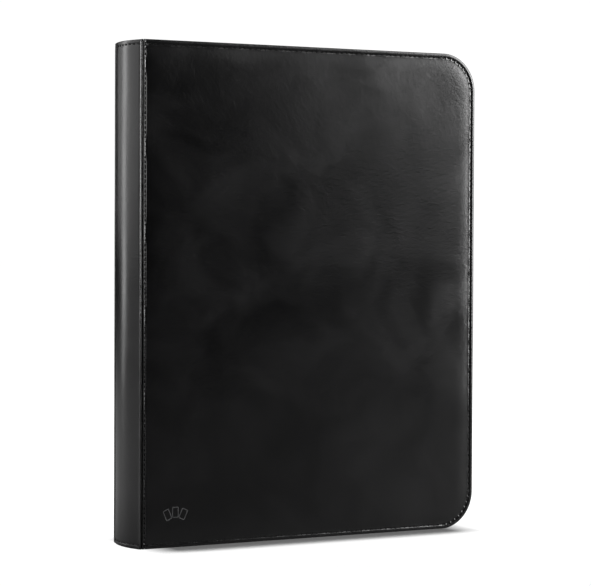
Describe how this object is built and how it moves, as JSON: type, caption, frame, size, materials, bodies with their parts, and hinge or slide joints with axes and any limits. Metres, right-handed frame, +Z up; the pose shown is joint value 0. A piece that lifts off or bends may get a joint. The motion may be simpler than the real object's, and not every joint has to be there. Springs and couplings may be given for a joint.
{
  "type": "trading card binder",
  "caption": "Zip-up padded binder in black leatherette with nine-pocket card leaves sewn to its spine and a zip round three sides.",
  "frame": {"origin": "middle of the footprint of the closed, standing binder, on the surface it stands on", "axes": "+Z up along the spine, +X from the spine to the fore edge, front cover on the -Y side, back cover on the +Y side"},
  "size_m": [0.2786, 0.04, 0.3516],
  "materials": {
    "leather": "smooth black leatherette, low sheen with a fine grain",
    "thread": "black bonded polyester thread, satin",
    "foam": "grey open foam sheet",
    "board": "grey pressed board",
    "lining": "black brushed cloth, matte",
    "zip_tape": "black woven tape, matte",
    "zip_coil": "black nylon, satin",
    "zip_metal": "black enamelled zinc, semi-gloss",
    "leaf": "black film with clear pockets on both faces"
  },
  "bodies": {
    "spine": {"spine_leather": "leather", "spine_stitching": "thread", "spine_foam": "foam", "spine_board": "board", "spine_lining": "lining", "leaf_binding_strip": "lining", "binding_stitching": "thread"},
    "front_cover": {"front_leather": "leather", "front_stitching": "thread", "front_foam": "foam", "front_board": "board", "front_lining": "lining", "front_zip_tape": "zip_tape", "front_zip_coil": "zip_coil", "front_zip_stops": "zip_metal"},
    "back_cover": {"back_leather": "leather", "back_stitching": "thread", "back_foam": "foam", "back_board": "board", "back_lining": "lining", "back_zip_tape": "zip_tape", "back_zip_coil": "zip_coil", "back_zip_stops": "zip_metal"},
    "slider": {"zip_slider": "zip_metal"},
    "pull": {"zip_pull": "zip_metal"},
    "leaf_01": {"leaf_01": "leaf"},
    "leaf_02": {"leaf_02": "leaf"},
    "leaf_03": {"leaf_03": "leaf"},
    "leaf_04": {"leaf_04": "leaf"},
    "leaf_05": {"leaf_05": "leaf"},
    "leaf_06": {"leaf_06": "leaf"},
    "leaf_07": {"leaf_07": "leaf"},
    "leaf_08": {"leaf_08": "leaf"},
    "leaf_09": {"leaf_09": "leaf"},
    "leaf_10": {"leaf_10": "leaf"},
    "leaf_11": {"leaf_11": "leaf"},
    "leaf_12": {"leaf_12": "leaf"},
    "leaf_13": {"leaf_13": "leaf"},
    "leaf_14": {"leaf_14": "leaf"},
    "leaf_15": {"leaf_15": "leaf"},
    "leaf_16": {"leaf_16": "leaf"},
    "leaf_17": {"leaf_17": "leaf"},
    "leaf_18": {"leaf_18": "leaf"},
    "leaf_19": {"leaf_19": "leaf"},
    "leaf_20": {"leaf_20": "leaf"}
  },
  "joints": [
    {"name": "front_hinge", "type": "hinge", "parent": "spine", "child": "front_cover", "pos_m": [-0.1352, -0.02, 0.175], "axis": [0, 0, -1], "range_deg": [0, 90]},
    {"name": "back_hinge", "type": "hinge", "parent": "spine", "child": "back_cover", "pos_m": [-0.1352, 0.02, 0.175], "axis": [0, 0, 1], "range_deg": [0, 90]},
    {"name": "leaf_01_turn", "type": "hinge", "parent": "spine", "child": "leaf_01", "pos_m": [-0.1292, -0.01188, 0.175], "axis": [0, 0, -1], "range_deg": [0, 88.25]},
    {"name": "leaf_02_turn", "type": "hinge", "parent": "spine", "child": "leaf_02", "pos_m": [-0.1282, -0.01063, 0.175], "axis": [0, 0, -1], "range_deg": [0, 86.9]},
    {"name": "leaf_03_turn", "type": "hinge", "parent": "spine", "child": "leaf_03", "pos_m": [-0.1272, -0.00937, 0.175], "axis": [0, 0, -1], "range_deg": [0, 85.55]},
    {"name": "leaf_04_turn", "type": "hinge", "parent": "spine", "child": "leaf_04", "pos_m": [-0.1262, -0.00813, 0.175], "axis": [0, 0, -1], "range_deg": [0, 84.2]},
    {"name": "leaf_05_turn", "type": "hinge", "parent": "spine", "child": "leaf_05", "pos_m": [-0.1252, -0.00688, 0.175], "axis": [0, 0, -1], "range_deg": [0, 82.85]},
    {"name": "leaf_06_turn", "type": "hinge", "parent": "spine", "child": "leaf_06", "pos_m": [-0.1242, -0.00562, 0.175], "axis": [0, 0, -1], "range_deg": [0, 81.5]},
    {"name": "leaf_07_turn", "type": "hinge", "parent": "spine", "child": "leaf_07", "pos_m": [-0.1232, -0.00438, 0.175], "axis": [0, 0, -1], "range_deg": [0, 80.15]},
    {"name": "leaf_08_turn", "type": "hinge", "parent": "spine", "child": "leaf_08", "pos_m": [-0.1222, -0.00313, 0.175], "axis": [0, 0, -1], "range_deg": [0, 78.8]},
    {"name": "leaf_09_turn", "type": "hinge", "parent": "spine", "child": "leaf_09", "pos_m": [-0.1212, -0.00187, 0.175], "axis": [0, 0, -1], "range_deg": [0, 77.45]},
    {"name": "leaf_10_turn", "type": "hinge", "parent": "spine", "child": "leaf_10", "pos_m": [-0.1202, -0.00063, 0.175], "axis": [0, 0, -1], "range_deg": [0, 76.1]},
    {"name": "leaf_11_turn", "type": "hinge", "parent": "spine", "child": "leaf_11", "pos_m": [-0.1202, 0.00063, 0.175], "axis": [0, 0, 1], "range_deg": [0, 76.1]},
    {"name": "leaf_12_turn", "type": "hinge", "parent": "spine", "child": "leaf_12", "pos_m": [-0.1212, 0.00187, 0.175], "axis": [0, 0, 1], "range_deg": [0, 77.45]},
    {"name": "leaf_13_turn", "type": "hinge", "parent": "spine", "child": "leaf_13", "pos_m": [-0.1222, 0.00313, 0.175], "axis": [0, 0, 1], "range_deg": [0, 78.8]},
    {"name": "leaf_14_turn", "type": "hinge", "parent": "spine", "child": "leaf_14", "pos_m": [-0.1232, 0.00438, 0.175], "axis": [0, 0, 1], "range_deg": [0, 80.15]},
    {"name": "leaf_15_turn", "type": "hinge", "parent": "spine", "child": "leaf_15", "pos_m": [-0.1242, 0.00562, 0.175], "axis": [0, 0, 1], "range_deg": [0, 81.5]},
    {"name": "leaf_16_turn", "type": "hinge", "parent": "spine", "child": "leaf_16", "pos_m": [-0.1252, 0.00688, 0.175], "axis": [0, 0, 1], "range_deg": [0, 82.85]},
    {"name": "leaf_17_turn", "type": "hinge", "parent": "spine", "child": "leaf_17", "pos_m": [-0.1262, 0.00813, 0.175], "axis": [0, 0, 1], "range_deg": [0, 84.2]},
    {"name": "leaf_18_turn", "type": "hinge", "parent": "spine", "child": "leaf_18", "pos_m": [-0.1272, 0.00937, 0.175], "axis": [0, 0, 1], "range_deg": [0, 85.55]},
    {"name": "leaf_19_turn", "type": "hinge", "parent": "spine", "child": "leaf_19", "pos_m": [-0.1282, 0.01063, 0.175], "axis": [0, 0, 1], "range_deg": [0, 86.9]},
    {"name": "leaf_20_turn", "type": "hinge", "parent": "spine", "child": "leaf_20", "pos_m": [-0.1292, 0.01188, 0.175], "axis": [0, 0, 1], "range_deg": [0, 88.25]},
    {"name": "slider_run", "type": "slide", "parent": "back_cover", "child": "slider", "axis": [1, 0, 0], "range_m": [0, 0.215]},
    {"name": "pull_swing", "type": "hinge", "parent": "slider", "child": "pull", "pos_m": [-0.1137, 0, 0.35015], "axis": [0, -1, 0], "range_deg": [0, 175]}
  ],
  "couplings": [
    {"joint": "leaf_01_turn", "follows": "front_hinge", "ratio": 0.98},
    {"joint": "leaf_02_turn", "follows": "front_hinge", "ratio": 0.965},
    {"joint": "leaf_03_turn", "follows": "front_hinge", "ratio": 0.95},
    {"joint": "leaf_04_turn", "follows": "front_hinge", "ratio": 0.935},
    {"joint": "leaf_05_turn", "follows": "front_hinge", "ratio": 0.92},
    {"joint": "leaf_06_turn", "follows": "front_hinge", "ratio": 0.905},
    {"joint": "leaf_07_turn", "follows": "front_hinge", "ratio": 0.89},
    {"joint": "leaf_08_turn", "follows": "front_hinge", "ratio": 0.875},
    {"joint": "leaf_09_turn", "follows": "front_hinge", "ratio": 0.86},
    {"joint": "leaf_10_turn", "follows": "front_hinge", "ratio": 0.845},
    {"joint": "leaf_11_turn", "follows": "back_hinge", "ratio": 0.845},
    {"joint": "leaf_12_turn", "follows": "back_hinge", "ratio": 0.86},
    {"joint": "leaf_13_turn", "follows": "back_hinge", "ratio": 0.875},
    {"joint": "leaf_14_turn", "follows": "back_hinge", "ratio": 0.89},
    {"joint": "leaf_15_turn", "follows": "back_hinge", "ratio": 0.905},
    {"joint": "leaf_16_turn", "follows": "back_hinge", "ratio": 0.92},
    {"joint": "leaf_17_turn", "follows": "back_hinge", "ratio": 0.935},
    {"joint": "leaf_18_turn", "follows": "back_hinge", "ratio": 0.95},
    {"joint": "leaf_19_turn", "follows": "back_hinge", "ratio": 0.965},
    {"joint": "leaf_20_turn", "follows": "back_hinge", "ratio": 0.98}
  ]
}
